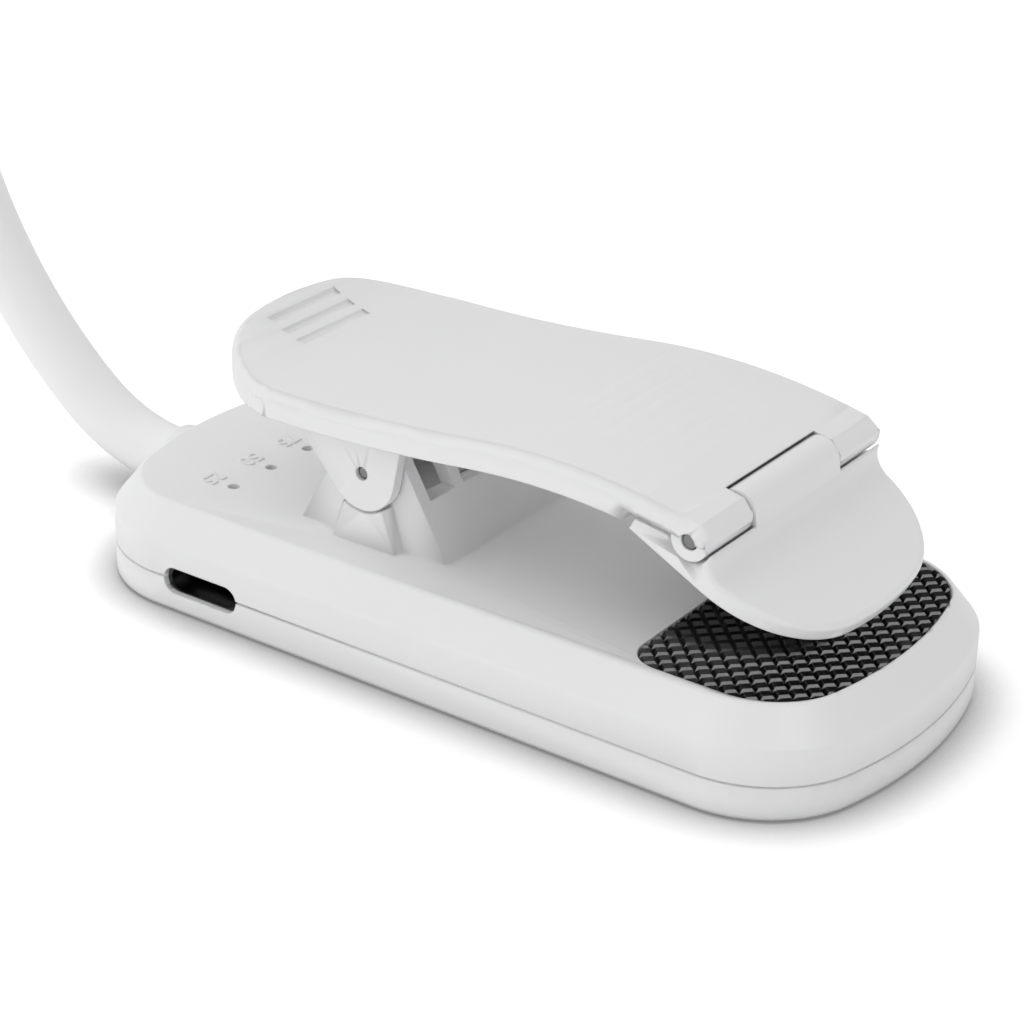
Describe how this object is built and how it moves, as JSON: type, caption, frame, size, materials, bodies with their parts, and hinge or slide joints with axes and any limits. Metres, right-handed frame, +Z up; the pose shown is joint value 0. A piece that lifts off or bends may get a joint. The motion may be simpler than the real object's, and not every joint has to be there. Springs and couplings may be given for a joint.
{
  "type": "clip_reading_lamp",
  "caption": "Rechargeable LED reading lamp: flat rounded body with a sprung clip and swivel jaw, rubber grip pad, charging socket, push button, bendable neck and light head",
  "frame": {"origin": "middle of the body's flat front face, which it lies on", "axes": "+X along the body to the clip's mouth, +Y across it, +Z up out of the clip side; the neck leaves at -X"},
  "size_m": [0.1296, 0.0404, 0.1173],
  "materials": {
    "white_plastic": "satin",
    "white_silicone": "satin",
    "black_rubber": "satin",
    "button_plastic": "satin",
    "steel": "brushed",
    "polished_steel": "polished",
    "dark_plastic": "matte",
    "gold": "polished",
    "board_green": "gloss",
    "board_white": "gloss",
    "cell_foil": "satin",
    "tape": "matte",
    "lead_wire": "satin",
    "led_lens": "gloss",
    "opal_window": "frosted",
    "core_wire": "satin"
  },
  "bodies": {
    "base": {"back_shell": "white_plastic", "front_shell": "white_plastic", "grip_pad": "black_rubber", "shell_screws": "steel", "main_board": "board_green", "board_chips": "dark_plastic", "charge_coil": "dark_plastic", "usb_shell": "steel", "usb_tongue": "dark_plastic", "usb_contacts": "gold", "battery_cell": "cell_foil", "battery_tape": "tape", "battery_leads": "lead_wire", "button_switch": "dark_plastic", "charge_leds": "led_lens", "neck_clamp": "steel", "clamp_screws": "steel", "neck_anchor": "steel", "neck_grommet": "white_plastic", "neck_leads": "lead_wire", "clip_pin": "polished_steel", "clip_spring": "polished_steel", "neck_sleeve_1": "white_silicone", "neck_core_1": "core_wire"},
    "button": {"power_button": "button_plastic"},
    "lever": {"clip_lever": "white_plastic", "jaw_pin": "polished_steel"},
    "jaw": {"swivel_jaw": "white_plastic", "jaw_pad": "black_rubber"},
    "neck_2": {"neck_sleeve_2": "white_silicone", "neck_core_2": "core_wire"},
    "neck_3": {"neck_sleeve_3": "white_silicone", "neck_core_3": "core_wire"},
    "neck_4": {"neck_sleeve_4": "white_silicone", "neck_core_4": "core_wire"},
    "neck_5": {"neck_sleeve_5": "white_silicone", "neck_core_5": "core_wire"},
    "neck_6": {"neck_sleeve_6": "white_silicone", "neck_core_6": "core_wire"},
    "neck_7": {"neck_sleeve_7": "white_silicone", "neck_core_7": "core_wire"},
    "neck_8": {"neck_sleeve_8": "white_silicone", "neck_core_8": "core_wire"},
    "head": {"neck_sleeve_9": "white_silicone", "neck_core_9": "core_wire", "head_housing": "white_plastic", "head_frame": "white_plastic", "head_diffuser": "opal_window", "led_board": "board_white", "led_chips": "led_lens", "reflector_sheet": "tape", "head_screws": "steel", "head_anchor": "steel", "head_leads": "lead_wire"}
  },
  "joints": [
    {"name": "lever_hinge", "type": "hinge", "parent": "base", "child": "lever", "pos_m": [-0.0105, 0, 0.018], "axis": [0, -1, 0], "range_deg": [0, 22], "stiffness_Nm_per_rad": 0.35, "springref_deg": -28.65, "deforming": ["clip_spring"]},
    {"name": "jaw_swing", "type": "hinge", "parent": "lever", "child": "jaw", "pos_m": [0.0268, 0, 0.023], "axis": [0, -1, 0], "range_deg": [0, 45]},
    {"name": "button_press", "type": "slide", "parent": "base", "child": "button", "axis": [0, 0, 1], "range_m": [0, 0.0004], "stiffness_N_per_m": 800, "springref_m": -0.001},
    {"name": "neck_bend_1", "type": "hinge", "parent": "base", "child": "neck_2", "pos_m": [-0.05835, 0, 0.00875], "axis": [0, 1, 0], "range_deg": [-20, 20]},
    {"name": "neck_bend_2", "type": "hinge", "parent": "neck_2", "child": "neck_3", "pos_m": [-0.06969, 0, 0.02078], "axis": [0.8225, 0, 0.5688], "range_deg": [-20, 20]},
    {"name": "neck_bend_3", "type": "hinge", "parent": "neck_3", "child": "neck_4", "pos_m": [-0.07694, 0, 0.03564], "axis": [0, -1, 0], "range_deg": [-20, 20]},
    {"name": "neck_bend_4", "type": "hinge", "parent": "neck_4", "child": "neck_5", "pos_m": [-0.07944, 0, 0.05199], "axis": [-1, 0, 0], "range_deg": [-20, 20]},
    {"name": "neck_bend_5", "type": "hinge", "parent": "neck_5", "child": "neck_6", "pos_m": [-0.07944, 0, 0.07199], "axis": [0, 1, 0], "range_deg": [-20, 20]},
    {"name": "neck_bend_6", "type": "hinge", "parent": "neck_6", "child": "neck_7", "pos_m": [-0.07381, 0, 0.093], "axis": [0.866, 0, -0.5], "range_deg": [-20, 20]},
    {"name": "neck_bend_7", "type": "hinge", "parent": "neck_7", "child": "neck_8", "pos_m": [-0.05843, 0, 0.10838], "axis": [0, -1, 0], "range_deg": [-20, 20]},
    {"name": "neck_bend_8", "type": "hinge", "parent": "neck_8", "child": "head", "pos_m": [-0.03742, 0, 0.11401], "axis": [0, 0, 1], "range_deg": [-20, 20]}
  ]
}
